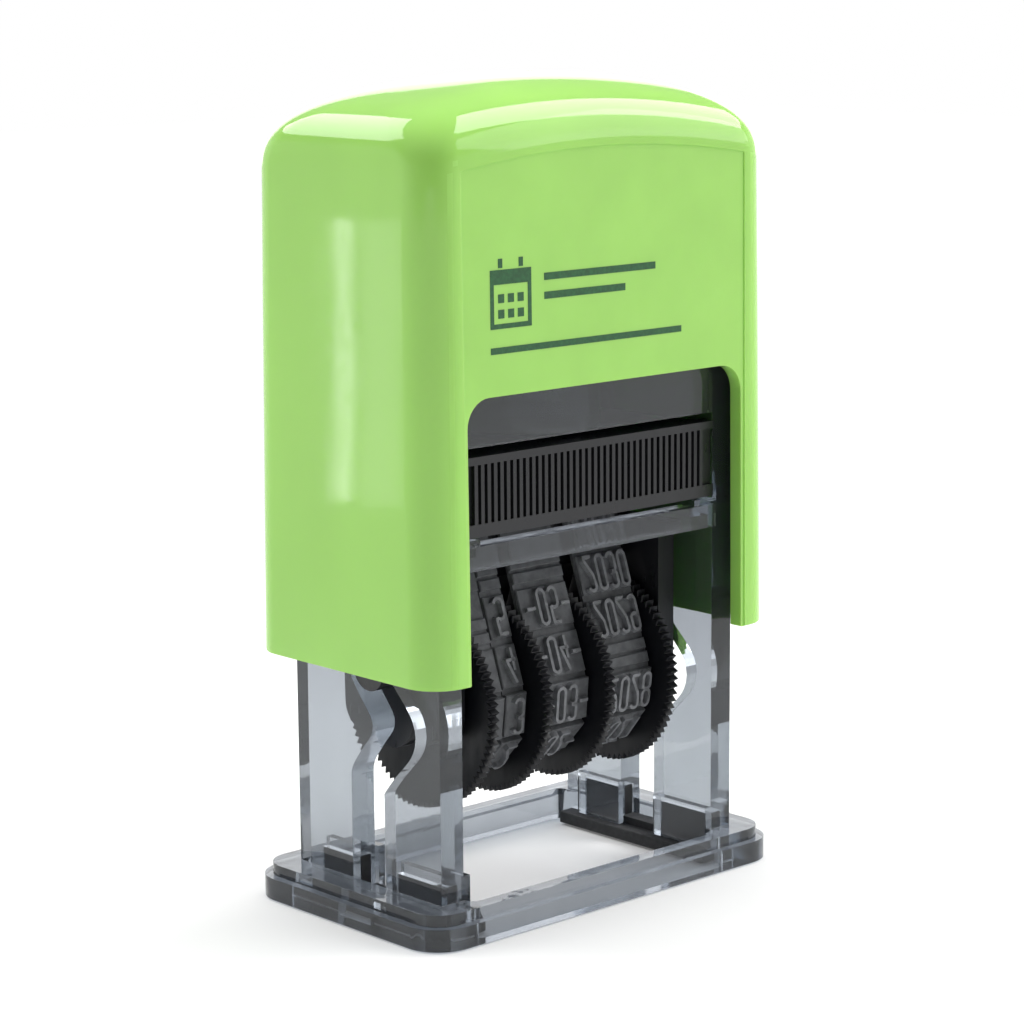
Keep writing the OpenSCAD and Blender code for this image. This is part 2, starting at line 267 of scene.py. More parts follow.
def moulded_plastic(name, colour, rough, shine=0.5):
    """Moulded plastic with slight colour drift, uneven gloss and fine grain."""
    vary = 0.12
    m = Nodes(name)
    drift = m.spread(m.noise(4, 2), 0, 1)
    m.colour(m.mix(drift, shade(colour, 1 - vary), shade(colour, 1 + vary)))
    scuff = m.noise(0.6, 4, stretch=(1, 1, 0.35))
    m.link(m.spread(scuff, rough * 0.75, rough * 1.3), m.shader.inputs["Roughness"])
    m.link(m.bump(m.noise(0.12, 2), 0.004), m.shader.inputs["Normal"])
    m.set(IOR=1.5, Specular_IOR_Level=shine)
    return m.material


def milky(m):
    """Lets a little light run through the cover's plastic."""
    m.set(IOR=1.5, Subsurface_Weight=0.25, Subsurface_Scale=0.0012)
    m.shader.inputs["Subsurface Radius"].default_value = (0.8, 1.0, 0.4)


def green_gloss():
    """Polished lime plastic of the cover, slightly milky, with faint flow marks."""
    m = Nodes("cover_green")
    flow = m.spread(m.noise(9, 2, stretch=(1, 1, 0.3)), 0, 1)
    m.colour(m.mix(flow, shade(GREEN, 0.95), shade(GREEN, 1.05)))
    haze = m.noise(1.2, 4)
    m.link(m.spread(haze, 0.035, 0.075), m.shader.inputs["Roughness"])
    m.link(m.bump(m.noise(6, 1), 0.02, 0.5), m.shader.inputs["Normal"])
    milky(m)
    return m.material


def green_matt():
    """Spark-eroded satin field on the front of the cover."""
    m = Nodes("cover_green_matt")
    m.colour(m.mix(m.spread(m.noise(5, 2), 0, 1), shade(GREEN, 0.98), shade(GREEN, 1.05)))
    m.link(m.spread(m.noise(0.5, 3), 0.42, 0.55), m.shader.inputs["Roughness"])
    m.link(m.bump(m.noise(0.09, 2), 0.006), m.shader.inputs["Normal"])
    milky(m)
    return m.material


def pad_print():
    """Dark green ink printed on the cover, a little thin in places."""
    m = Nodes("pad_print")
    thin = m.spread(m.noise(0.25, 4), 0, 1)
    m.colour(m.mix(thin, PRINT_GREEN, shade(PRINT_GREEN, 1.7)))
    m.link(m.spread(m.noise(0.3, 2), 0.3, 0.5), m.shader.inputs["Roughness"])
    m.link(m.bump(m.noise(0.1, 2), 0.004), m.shader.inputs["Normal"])
    return m.material


def smoke_clear():
    """Clear grey polystyrene: refracts for the eye and lets light through for shadows."""
    m = Nodes("smoke_clear")
    streaks = m.noise(2.5, 3, stretch=(1, 1, 0.25))
    m.colour(m.mix(m.spread(streaks, 0, 1), shade(SMOKE, 0.95), SMOKE))
    m.link(m.spread(m.noise(0.8, 4), 0.02, 0.07), m.shader.inputs["Roughness"])
    depth = m.node("ShaderNodeVolumeAbsorption")
    depth.inputs["Color"].default_value = (*SMOKE_DEPTH, 1)
    depth.inputs["Density"].default_value = SMOKE_DENSITY
    m.link(depth.outputs["Volume"], m.output.inputs["Volume"])
    m.link(m.bump(m.noise(3, 2, stretch=(1, 1, 0.3)), 0.045, 0.8), m.shader.inputs["Normal"])
    m.set(IOR=1.49, Transmission_Weight=0.95, Specular_IOR_Level=0.3)
    light_path = m.node("ShaderNodeLightPath")
    clear = m.node("ShaderNodeBsdfTransparent")
    clear.inputs["Color"].default_value = (*shade(SMOKE, 1.25), 1)
    switch = m.node("ShaderNodeMixShader")
    soft = m.node("ShaderNodeMath", operation="MAXIMUM")
    m.link(light_path.outputs["Is Shadow Ray"], soft.inputs[0])
    m.link(light_path.outputs["Is Diffuse Ray"], soft.inputs[1])
    m.link(soft.outputs[0], switch.inputs["Fac"])
    m.link(m.shader.outputs["BSDF"], switch.inputs[1])
    m.link(clear.outputs["BSDF"], switch.inputs[2])
    m.link(switch.outputs["Shader"], m.output.inputs["Surface"])
    return m.material


def moulded_rubber(name, colour, rough):
    """Rubber with a dusty bloom, pinholes and fine grain."""
    m = Nodes(name)
    bloom = m.spread(m.noise(0.7, 4), 0, 1)
    m.colour(m.mix(bloom, shade(colour, 0.8), shade(colour, 1.5)))
    m.link(m.spread(m.noise(0.4, 3), rough - 0.1, rough + 0.08), m.shader.inputs["Roughness"])
    fine = m.bump(m.noise(0.07, 3), 0.004)
    m.link(m.bump(m.noise(0.6, 2), 0.006, 0.7, fine), m.shader.inputs["Normal"])
    m.set(IOR=1.5, Sheen_Weight=0.1, Specular_IOR_Level=0.4)
    return m.material


def ink_felt_material():
    """Fibrous felt soaked with dark ink."""
    m = Nodes("ink_felt")
    fibres = m.noise(0.12, 6)
    m.colour(m.mix(m.spread(fibres, 0, 1), INK_VIOLET, shade(INK_VIOLET, 2.6)))
    m.link(m.spread(m.noise(0.8, 2), 0.35, 0.8), m.shader.inputs["Roughness"])
    m.link(m.bump(fibres, 0.05), m.shader.inputs["Normal"])
    m.set(Sheen_Weight=0.3)
    return m.material


def drawn_steel():
    """Bright drawn wire with fine marks."""
    m = Nodes("steel")
    m.colour(m.mix(m.spread(m.noise(0.5, 3), 0, 1), shade(STEEL, 0.85), STEEL))
    m.link(m.spread(m.noise(0.15, 4), 0.18, 0.34), m.shader.inputs["Roughness"])
    m.link(m.bump(m.noise(0.08, 2), 0.003), m.shader.inputs["Normal"])
    m.set(Metallic=1.0)
    return m.material


GREEN_GLOSS = green_gloss()
GREEN_MATT = green_matt()
PAD_PRINT = pad_print()
SMOKE_CLEAR = smoke_clear()
BLACK_PLASTIC = moulded_plastic("black_plastic", BLACK, 0.34)
WHEEL_PLASTIC = moulded_plastic("wheel_black", WHEEL_BLACK, 0.42, shine=0.3)
BAND_RUBBER = moulded_rubber("band_rubber", BAND_GREY, 0.62)
# the figures' rubber is the band rubber made lighter: painted highlight
FIGURE_HIGHLIGHT_RUBBER = moulded_rubber("figure_rubber", FIGURE_HIGHLIGHT_GREY, 0.5)
FOOT_RUBBER = moulded_rubber("foot_rubber", FOOT_GREY, 0.7)
INK_FELT = ink_felt_material()
DRAWN_STEEL = drawn_steel()


# ---- cover -------------------------------------------------------------------------

COVER_LOW, COVER_HIGH = box_mm("cover_shell")
WALL = 1.2
CORNER_R = 2.7
CORNER_GROWTH = 1.6      # how much wider the corner radius is at the ridge
DRAFT = 0.009            # inward lean of each side per millimetre of height
ROOF_H = 5.1
ROOF_POWER_X = 4.3       # how square the roof's outline is seen from the front
ROOF_POWER_Y = 2.6       # the same seen from the side
SIDE_LEVELS = [25, 32, 38.5, 42, 45, 48, 51]
ARCH_R = 84              # radius of the arch that the roof follows from left to right
ARCH_START = 42          # height where the arch begins to fade in
ARCH_FADE = 12
WINDOW_HALF = 13.4
WINDOW_TOP = 38.0
REAR_WINDOW_TOP = 31.0
WINDOW_R = 2.0
PANEL_HALF = 13.75
PANEL_TOP = 54.5
PANEL_DEPTH = 0.08
RIB_LOW = 24.0           # guide ribs inside the cover
RIB_HIGH = 49.0
RIB_IN = 14.78
RIB_OUT = 15.9
RIB_Y = 6
RIB_HALF = 0.5
POST_X = 9               # posts that carry the yoke
POST_Y = 3.5
POST_R = 1.5


def front_face(z):
    """Place in Y of the leaning front of the cover."""
    return -(COVER_HIGH.y - DRAFT * (z - COVER_LOW.z))


def cover_half(base, power, z, wall):
    """Half size of the cover at the height z."""
    straight = base - DRAFT * (z - COVER_LOW.z) - wall
    share = min(1, max(0, (z - (COVER_HIGH.z - ROOF_H)) / (ROOF_H - wall)))
    return straight * (1 - share ** power) ** (1 / power)


def arch_drop(x, z):
    """How far the roof arch lowers a point; it fades out down the sides."""
    fade = min(1, max(0, (z - ARCH_START) / ARCH_FADE))
    fade = fade * fade * (3 - 2 * fade)
    return fade * x * x / (2 * ARCH_R)


def cover_ring(z, wall):
    """One level outline of the cover, with rounded corners and straight runs between."""
    w = cover_half(COVER_HIGH.x, ROOF_POWER_X, z, wall)
    d = cover_half(COVER_HIGH.y, ROOF_POWER_Y, z, wall)
    share = max(0, (z - (COVER_HIGH.z - ROOF_H)) / ROOF_H)
    r = min(CORNER_R - wall * 0.6 + CORNER_GROWTH * share * share, w - 0.01, d - 0.01)
    corner_steps = 10
    run_steps = 14
    points = []
    for k, (sx, sy) in enumerate(((1, 1), (-1, 1), (-1, -1), (1, -1))):
        corner = arc(sx * (w - r), sy * (d - r), r, r, 90 * k, 90 * k + 90, corner_steps)
        points += corner
        nx, ny = ((-1, 1), (-1, -1), (1, -1), (1, 1))[k]
        start = corner[-1]
        angle = math.radians(90 * k + 90)
        end = (nx * (w - r) + r * math.cos(angle), ny * (d - r) + r * math.sin(angle))
        for i in range(1, run_steps):
            t = i / run_steps
            points.append((start[0] + (end[0] - start[0]) * t, start[1] + (end[1] - start[1]) * t))
    return [(x, y, z - arch_drop(x, z)) for x, y in points]


def cover_surface(wall, bottom):
    """Rings from the bottom to the ridge of the roof."""
    roof = COVER_HIGH.z - ROOF_H
    levels = [bottom] + SIDE_LEVELS + [roof - 1.5, roof - 0.5]
    steps = 22
    levels += [roof + (ROOF_H - wall) * math.sin(math.pi / 2 * i / steps) for i in range(steps)]
    levels.append(COVER_HIGH.z - wall - 0.0015)
    return [cover_ring(z, wall) for z in levels]


def shell_mesh(outer, inner):
    """Closed shell from two stacks of rings joined along their lowest ring."""
    n = len(outer[0])
    verts, faces = [], []
    for rings, flip in ((outer, False), (inner, True)):
        start = len(verts)
        for ring in rings:
            verts += ring
        for k in range(len(rings) - 1):
            for i in range(n):
                j = (i + 1) % n
                a = start + k * n
                quad = (a + i, a + j, a + n + j, a + n + i)
                faces.append(quad[::-1] if flip else quad)
        top = [start + (len(rings) - 1) * n + i for i in range(n)]
        faces.append(tuple(top[::-1] if flip else top))
    second = len(outer) * n
    for i in range(n):
        j = (i + 1) % n
        faces.append((j, i, second + i, second + j))
    return verts, faces


def window_outline(window_top):
    """Window outline: open below, rounded at its two upper corners."""
    low = COVER_LOW.z - 5
    top = window_top - WINDOW_R
    right = arc(WINDOW_HALF - WINDOW_R, top, WINDOW_R, WINDOW_R, 0, 90, 8)
    left = arc(-WINDOW_HALF + WINDOW_R, top, WINDOW_R, WINDOW_R, 90, 180, 8)
    return [(WINDOW_HALF, low)] + right + left + [(-WINDOW_HALF, low)]


def panel_cutter():
    """Thin wedge that sinks the satin field a little into the leaning front face."""
    steps = 24
    xs = [PANEL_HALF * (1 - 2 * i / steps) for i in range(steps + 1)]
    outline = [(PANEL_HALF, COVER_LOW.z - 3)]
    outline += [(x, PANEL_TOP - x * x / (2 * ARCH_R)) for x in xs]
    outline += [(-PANEL_HALF, COVER_LOW.z - 3)]
    cutter = prism_y("panel_cutter", outline, 0, 1)
    for v in cutter.data.vertices:
        face = front_face(v.co.z / MM)
        inner = v.co.y > 0.5 * MM
        v.co.y = (face + PANEL_DEPTH if inner else face - 2) * MM
    fix_normals(cutter)
    return cutter


def build_cover():
    """Shell with its two windows, rounded edges and the sunk field on the front."""
    outer = cover_surface(0, COVER_LOW.z)
    inner = cover_surface(WALL, COVER_LOW.z)
    verts, faces = shell_mesh(outer, inner)
    cover = add_object("cover", verts, faces, None, GREEN_GLOSS)
    cut(cover, prism_y("front_window_cutter", window_outline(WINDOW_TOP), -15, 0))
    cut(cover, prism_y("rear_window_cutter", window_outline(REAR_WINDOW_TOP), 0, 15))
    merge_wall_faces(cover, 0.35)
    add_bevel(cover, 0.14, 35)
    bpy.context.view_layer.update()
    bake_modifiers(cover)
    cut(cover, panel_cutter())
    merge_wall_faces(cover, 0.1)
    paint_panel(cover)
    shade_by_angle(cover, SHARP_ANGLE)
    keep_flats(cover)
    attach(cover, "cover")
    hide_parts("cover_shell")


def merge_wall_faces(obj, degrees):
    """Joins neighbouring faces of the flat upright walls; the roof keeps its grid."""
    bm = bmesh.new()
    bm.from_mesh(obj.data)
    bmesh.ops.remove_doubles(bm, verts=bm.verts, dist=WELD * MM)
    limit = math.radians(degrees)

    def on_wall(face):
        x, y, z = (abs(part) for part in face.normal)
        return z < 0.03 and max(x, y) > 0.9995

    flat = [e for e in bm.edges if e.is_manifold and e.calc_face_angle(1) < limit
            and all(on_wall(f) for f in e.link_faces)]
    bmesh.ops.dissolve_edges(bm, edges=flat, use_verts=True)
    bmesh.ops.recalc_face_normals(bm, faces=bm.faces)
    bm.to_mesh(obj.data)
    bm.free()


def paint_panel(cover):
    """Gives the sunk field of the front the satin material."""
    cover.data.materials.clear()
    cover.data.materials.append(GREEN_GLOSS)
    cover.data.materials.append(GREEN_MATT)
    for polygon in cover.data.polygons:
        centre = polygon.center / MM
        face = front_face(centre.z) + PANEL_DEPTH
        on_field = abs(centre.y - face) < 0.02 and polygon.normal.y < -0.9
        polygon.material_index = 1 if on_field else 0


def build_cover_ribs():
    """Guide ribs and yoke posts inside the cover."""
    verts = []
    faces = []
    for sx in (-1, 1):
        for y in (-RIB_Y, RIB_Y):
            low = (sx * RIB_IN, y - RIB_HALF, RIB_LOW)
            high = (sx * RIB_OUT, y + RIB_HALF, RIB_HIGH)
            add_box(verts, faces, low, high)
    yoke_top = box_mm("carrier_yoke")[1].z
    for sx in (-1, 1):
        for sy in (-1, 1):
            ring = arc(sx * POST_X, sy * POST_Y, POST_R, POST_R, 0, 345, 23)
            add_prism_z(verts, faces, ring, yoke_top + 0.02, COVER_HIGH.z - WALL - 0.2)
    ribs = add_object("cover_inner_ribs", verts, faces, "cover", GREEN_GLOSS)
    add_bevel(ribs, 0.12)


# faces of a box whose lower four corners come before its upper four
BOX_QUADS = ((0, 3, 2, 1), (4, 5, 6, 7), (0, 1, 5, 4), (1, 2, 6, 5), (2, 3, 7, 6), (3, 0, 4, 7))


def add_box(verts, faces, low, high):
    """Adds a closed box to a mesh under construction."""
    start = len(verts)
    for z in (low[2], high[2]):
        verts += [(low[0], low[1], z), (high[0], low[1], z), (high[0], high[1], z), (low[0], high[1], z)]
    faces += [tuple(start + i for i in quad) for quad in BOX_QUADS]


def add_prism_z(verts, faces, ring, z0, z1):
    """Adds a closed prism along Z to a mesh under construction."""
    start = len(verts)
    n = len(ring)
    verts += [(x, y, z0) for x, y in ring] + [(x, y, z1) for x, y in ring]
    faces.append(tuple(start + i for i in reversed(range(n))))
    faces.append(tuple(start + n + i for i in range(n)))
    faces += [(start + i, start + (i + 1) % n, start + n + (i + 1) % n, start + n + i) for i in range(n)]


# ---- pad print: a plain calendar sign and three rules ------------------------------------

SIGN_LEFT = -11.2
SIGN_RIGHT = -7.4
SIGN_LOW = 42.6
SIGN_HIGH = 46.6
SIGN_LINE = 0.34         # width of the sign's outline
SIGN_HEAD = 1.0          # height of the solid bar at the top of the sign
PRINT_ROOT = 0.02        # how deep the ink reaches below the field
PRINT_LIFT = 0.015       # how far it stands out


def calendar_sign():
    """Rectangles (x0, z0, x1, z1) of the sign: frame, head, two binder rings and six days."""
    head = SIGN_HIGH - SIGN_HEAD
    frame_low = SIGN_LOW + SIGN_LINE
    bars = [(SIGN_LEFT, SIGN_LOW, SIGN_RIGHT, frame_low),
            (SIGN_LEFT, head, SIGN_RIGHT, SIGN_HIGH),
            (SIGN_LEFT, frame_low, SIGN_LEFT + SIGN_LINE, head),
            (SIGN_RIGHT - SIGN_LINE, frame_low, SIGN_RIGHT, head)]
    for x in (SIGN_LEFT + 0.75, SIGN_RIGHT - 1.15):
        bars.append((x, SIGN_HIGH + 0.12, x + 0.4, SIGN_HIGH + 0.75))
    for i in range(3):
        for j in range(2):
            x = SIGN_LEFT + 0.72 + i * 0.9
            z = SIGN_LOW + 0.7 + j * 1.05
            bars.append((x, z, x + 0.56, z + 0.6))
    return bars


def build_print():
    """Generic calendar sign and plain rules on the front of the cover."""
    rules = [(-6.2, 45.6, 4.6, 46.1), (-6.2, 44.3, 1.6, 44.8), (SIGN_LEFT, 40.9, 7.2, 41.35)]
    verts = []
    faces = []
    for x0, z0, x1, z1 in calendar_sign() + rules:
        start = len(verts)
        for sunk in (PRINT_ROOT, -PRINT_LIFT):
            for x, z in ((x0, z0), (x1, z0), (x1, z1), (x0, z1)):
                verts.append((x, front_face(z) + PANEL_DEPTH + sunk, z))
        faces += [tuple(start + i for i in quad) for quad in BOX_QUADS]
    add_object("front_print", verts, faces, "cover", PAD_PRINT, smooth=False)


# ---- date bands --------------------------------------------------------------------------

AXLE_LOW, AXLE_HIGH = box_mm("wheel_axle")
AXLE_Z = (AXLE_LOW.z + AXLE_HIGH.z) / 2
BAND_HIGH = box_mm("year_band")[1]
FIGURE_H = 0.36          # height of a figure above its pad
PAD_H = 0.30             # height of a pad above the web
WEB_T = 0.29             # thickness of the web that links the pads
SETTLE = 0.08            # how far a flat pad sits below the round of the wheel
FIGURE_HALF = 1.28       # half height of a figure
STROKE_W = 0.27          # width of a figure's stroke
PAD_GAP = 0.5            # gap between neighbouring pads
END_PAD_HALF = 0.4       # half length of the two blank pads at the seam
END_PAD_AT = 0.52        # their distance from the seam
WHEEL_R = BAND_HIGH.y - FIGURE_H
OUTER_TURN_R = 1.2       # radius of the CAD band where it turns over the platen
TURN_HALF = 0.7          # half distance between its two turns
TURN_R = OUTER_TURN_R - FIGURE_H
TURN_Z = BAND_HIGH.z - OUTER_TURN_R


class Loop:
    """The band's path in the Y-Z plane.

    The path length s is 0 in the middle of the type face and grows down the front of the band.
    """

    def __init__(self):
        rise = TURN_Z - AXLE_Z
        length = math.hypot(TURN_HALF, rise)
        self.lean = math.atan2(rise, TURN_HALF) - math.acos((WHEEL_R - TURN_R) / length)
        self.turn = TURN_R * (math.pi / 2 - self.lean)
        self.straight = math.sqrt(length ** 2 - (WHEEL_R - TURN_R) ** 2)
        self.wheel = WHEEL_R * (math.pi / 2 + self.lean)
        self.half = TURN_HALF + self.turn + self.straight + self.wheel
        self.length = 2 * self.half

    def at(self, s, height=0.0):
        """Place (y, z) at the path length s, raised by height."""
        s = (s + self.half) % self.length - self.half
        side = -1 if s >= 0 else 1
        y, z, ny, nz = self.half_path(abs(s))
        return side * (y + ny * height), z + nz * height

    def normal(self, s):
        """Outward direction (y, z) at the path length s."""
        y0, z0 = self.at(s)
        y1, z1 = self.at(s, 1)
        return y1 - y0, z1 - z0

    def half_path(self, s):
        """Place and outward direction (y, z, ny, nz) on one half: flat, turn, straight run, wheel."""
        if s <= TURN_HALF:
            return s, TURN_Z + TURN_R, 0, 1
        s -= TURN_HALF
        if s <= self.turn:
            a = math.pi / 2 - s / TURN_R
            ny, nz = math.cos(a), math.sin(a)
            return TURN_HALF + TURN_R * ny, TURN_Z + TURN_R * nz, ny, nz
        s -= self.turn
        if s <= self.straight:
            ny, nz = math.cos(self.lean), math.sin(self.lean)
            return TURN_HALF + TURN_R * ny + s * nz, TURN_Z + TURN_R * nz - s * ny, ny, nz
        a = self.lean - (s - self.straight) / WHEEL_R
        ny, nz = math.cos(a), math.sin(a)
        return WHEEL_R * ny, AXLE_Z + WHEEL_R * nz, ny, nz


LOOP = Loop()


class BandMesh:
    """Collects the parts of one band."""

    def __init__(self, x0, x1):
        self.x0 = x0
        self.x1 = x1
        self.verts = []
        self.faces = []
        self.figure_faces = []

    def point(self, x, s, height):
        """Point on the curved path."""
        y, z = LOOP.at(s, height)
        self.verts.append((x, y, z))
        return len(self.verts) - 1

    def flat_point(self, x, centre, along, height):
        """Point on the flat pad at the path length centre, moved along its face and raised."""
        y, z = LOOP.at(centre, height - SETTLE)
        ny, nz = LOOP.normal(centre)
        self.verts.append((x, y - nz * along, z + ny * along))
        return len(self.verts) - 1

    def sweep(self, rows, closed):
        """Joins rows of points; an open sweep gets end caps."""
        n = len(rows[0])
        count = len(rows)
        for k in range(count if closed else count - 1):
            a, b = rows[k], rows[(k + 1) % count]
            for i in range(n):
                j = (i + 1) % n
                self.faces.append((a[i], a[j], b[j], b[i]))
        if not closed:
            self.faces.append(tuple(reversed(rows[0])))
            self.faces.append(tuple(rows[-1]))

    def web(self):
        """The continuous strap under the pads."""
        steps = 180
        rows = []
        for k in range(steps):
            s = LOOP.length * k / steps
            low, high = -PAD_H - WEB_T, -PAD_H
            rows.append([self.point(self.x0, s, low), self.point(self.x1, s, low),
                         self.point(self.x1, s, high), self.point(self.x0, s, high)])
        self.sweep(rows, True)

    def pad(self, centre, half, high=0.0):
        """Flat raised pad with chamfered edges."""
        chamfer = 0.07
        left = self.x0 + 0.04
        right = self.x1 - 0.04
        root = -PAD_H - 0.1
        side = high - chamfer
        rows = []
        for along, top in ((-half, side), (-half + chamfer, high), (half - chamfer, high), (half, side)):
            section = ((left, root), (right, root), (right, side), (right - chamfer, top),
                       (left + chamfer, top), (left, side))
            rows.append([self.flat_point(x, centre, along, level) for x, level in section])
        self.sweep(rows, False)

    def stroke(self, path, closed, x, s, width):
        """One raised stroke of a figure: a trapezoid swept along path, given as (across, up) points."""
        base = width / 2 + 0.05
        top = width / 2 - 0.02
        root = -0.05
        fine = split_path(path, closed, 0.16)
        rows = []
        n = len(fine)
        for i, (px, py) in enumerate(fine):
            ax, ay = fine[i - 1] if closed or i else fine[0]
            bx, by = fine[(i + 1) % n] if closed or i < n - 1 else fine[-1]
            length = math.hypot(bx - ax, by - ay) or 1
            nx, ny = -(by - ay) / length, (bx - ax) / length
            row = []
            for reach, height in ((base, root), (top, FIGURE_H), (-top, FIGURE_H), (-base, root)):
                row.append(self.flat_point(x + px + nx * reach, s, py + ny * reach, height))
            rows.append(row)
        # these stroke faces later get the lighter rubber of the painted highlight
        first = len(self.faces)
        self.sweep(rows, closed)
        self.figure_faces += range(first, len(self.faces))


def split_path(path, closed, step):
    """Adds points so that no piece of the path is longer than step."""
    result = []
    last = len(path) if closed else len(path) - 1
    for i in range(last):
        (ax, ay), (bx, by) = path[i], path[(i + 1) % len(path)]
        pieces = max(1, math.ceil(math.hypot(bx - ax, by - ay) / step))
        result += [(ax + (bx - ax) * k / pieces, ay + (by - ay) * k / pieces) for k in range(pieces)]
    if not closed:
        result.append(path[-1])
    return result


def figure_strokes(sign, w, h):
    """Centre lines of a figure in a box of half width w and half height h: (points, closed) pairs."""
    r = min(w, h / 2)
    ring = arc(0, h - w, w, w, 0, 180, 10) + arc(0, w - h, w, w, 180, 360, 10)
    upper = arc(0, h - w, w, w, 0, 180, 10) + arc(0, r * 0.9, w, r * 0.8, 180, 360, 10)
    lower = arc(0, -r * 0.9, w, r * 0.8, 0, 180, 10) + arc(0, w - h, w, w, 180, 360, 10)
    hook = arc(0, h - w, w, w, 165, 0, 10)
    belly = arc(0, 0.12 - w * 0.8, w, w * 0.8, 100, 0, 7) + arc(0, w - h, w, w, 0, -165, 10)
    shapes = {
        "0": [(ring, True)],
        "1": [([(-w * 0.7, h * 0.62), (0.1 * w, h), (0.1 * w, -h)], False)],
        "2": [(hook + [(w * 0.75, h * 0.1), (-w, -h * 0.8), (-w, -h), (w, -h)], False)],
        "3": [(hook + arc(0, 0.1 + w * 0.7, w, w * 0.6, 0, -80, 5), False), (belly, False)],
        "4": [([(w * 0.35, h), (-w, -h * 0.32), (w * 1.1, -h * 0.32)], False),
              ([(w * 0.45, h * 0.3), (w * 0.45, -h)], False)],
        "5": [([(w, h), (-w * 0.9, h), (-w, h * 0.12)] + arc(0, -0.1 - w * 0.2, w, w, 130, 0, 8)
               + arc(0, w - h, w, w, 0, -165, 10), False)],
        "6": [(lower, True), (arc(0, h - w, w, w, 25, 180, 8) + [(-w, -h * 0.3)], False)],
        "7": [([(-w, h), (w, h), (-w * 0.15, -h)], False)],
        "8": [(upper, True), (lower, True)],
        "9": [(upper, True), ([(w, h * 0.3)] + arc(0, w - h, w, w, 0, -155, 8), False)],
        "-": [([(-w * 1.15, 0), (w * 1.15, 0)], False)],
    }
    return shapes[sign]


def build_band(node, labels, seam, pitch, seam_half, width, advance):
    """A band with one pad for each label, going round from its seam.

    A label is a row of figures, each width wide and advance apart.
    """
    low, high = box_mm(node)
    band = BandMesh(low.x, high.x)
    band.web()
    middle = (low.x + high.x) / 2
    for k, label in enumerate(labels):
        s = seam + seam_half + (k + 0.5) * pitch
        band.pad(s, (pitch - PAD_GAP) / 2)
        for i, sign in enumerate(label):
            x = middle + (i - (len(label) - 1) / 2) * advance
            for path, closed in figure_strokes(sign, width / 2, FIGURE_HALF):
                band.stroke(path, closed, x, s, STROKE_W)
    for side in (-1, 1):
        band.pad(seam + side * END_PAD_AT, END_PAD_HALF, high=0.02)
    name = node.replace("_band", "_date_band")
    obj = add_object(name, band.verts, band.faces, "carriage", BAND_RUBBER)
    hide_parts(node)
    # the figures get the lighter copy of the band rubber: painted highlight on the raised figures
    obj.data.materials.append(FIGURE_HIGHLIGHT_RUBBER)
    for index in band.figure_faces:
        obj.data.polygons[index].material_index = 1
    shade_by_angle(obj, 30)


def build_bands():
    """The four bands; an empty label is a blank pad."""
    years = [str(y) for y in [*range(2028, 2022, -1), *range(2035, 2028, -1)]]
    build_band("year_band", years, seam=12.75, pitch=3.44, seam_half=1.16, width=0.72, advance=1.14)
    months = [f"-{m:02d}-" for m in [*range(5, 0, -1), *range(12, 5, -1)]]
    build_band("month_band", months, seam=5.25, pitch=3.6, seam_half=1.1, width=0.72, advance=1.12)
    units = [*"543210", "", "", *"9876"]
    build_band("units_band", units, seam=5.3, pitch=3.6, seam_half=1.1, width=0.80, advance=1)
    tens = ["", "", *"321", "", "", *"321", "", ""]
    build_band("tens_band", tens, seam=9.0, pitch=3.6, seam_half=1.1, width=0.80, advance=1)


# ---- spring, felt and the CAD nodes that keep their shape ------------------------------------


def build_spring():
    """Compression spring with closed ends, drawn as a swept wire."""
    low, high = box_mm("return_spring")
    wire = 0.32
    radius = high.x - wire
    turns = 6.0
    closing = 0.055      # how strongly the end turns close up
    around = 12
    per_turn = 40
    steps = int(turns * per_turn)
    rise = high.z - low.z - 2 * wire
    verts = []
    faces = []
    for i in range(steps + 1):
        t = i / steps
        z = low.z + wire + rise * (t - closing * math.sin(2 * math.pi * t))
        a = 2 * math.pi * turns * t
        for j in range(around):
            b = 2 * math.pi * j / around
            r = radius + wire * math.cos(b)
            verts.append((r * math.cos(a), r * math.sin(a), z + wire * math.sin(b)))
    for i in range(steps):
        for j in range(around):
            k = (j + 1) % around
            a = i * around
            b = a + around
            faces.append((a + j, b + j, b + k, a + k))
    faces.append(tuple(range(around)))
    faces.append(tuple(steps * around + around - 1 - j for j in range(around)))
    spring = add_object("coil_spring", verts, faces, "frame", DRAWN_STEEL)
    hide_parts("return_spring")
    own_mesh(spring)


def build_felt():
    """Felt pad with soft edges and a slightly uneven face."""
    low, high = box_mm("ink_felt")
    width = high.x - low.x
    depth = high.y - low.y
    nx = 40
    ny = 24
    rim_w = 0.6          # width of the rounded rim
    rim_h = 0.35
    ripple_h = 0.03
    verts = []
    faces = []

    def face_point(u, v, top):
        x = low.x + width * u
        y = low.y + depth * v
        from_rim = min(u * width, (1 - u) * width, v * depth, (1 - v) * depth, rim_w)
        fall = rim_h * (1 - from_rim / rim_w) ** 2
        if top:
            return x, y, high.z - fall
        ripple = ripple_h * math.sin(x * 2.1 + 0.7 * y) * math.sin(y * 1.7 - 0.4 * x)
        return x, y, low.z + ripple_h + fall + ripple

    for top in (False, True):
        for j in range(ny + 1):
            for i in range(nx + 1):
                verts.append(face_point(i / nx, j / ny, top))
    row = nx + 1
    layer = row * (ny + 1)
    for j in range(ny):
        for i in range(nx):
            a = j * row + i
            faces.append((a, a + row, a + row + 1, a + 1))
            faces.append((layer + a, layer + a + 1, layer + a + row + 1, layer + a + row))
    rim = list(range(nx)) + [nx + j * row for j in range(ny)]
    rim += [layer - 1 - i for i in range(nx)] + [(ny - j) * row for j in range(ny)]
    for k, a in enumerate(rim):
        b = rim[(k + 1) % len(rim)]
        faces.append((a, b, layer + b, layer + a))
    felt = add_object("ink_pad_felt", verts, faces, "ink_tray", INK_FELT)
    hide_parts("ink_felt")


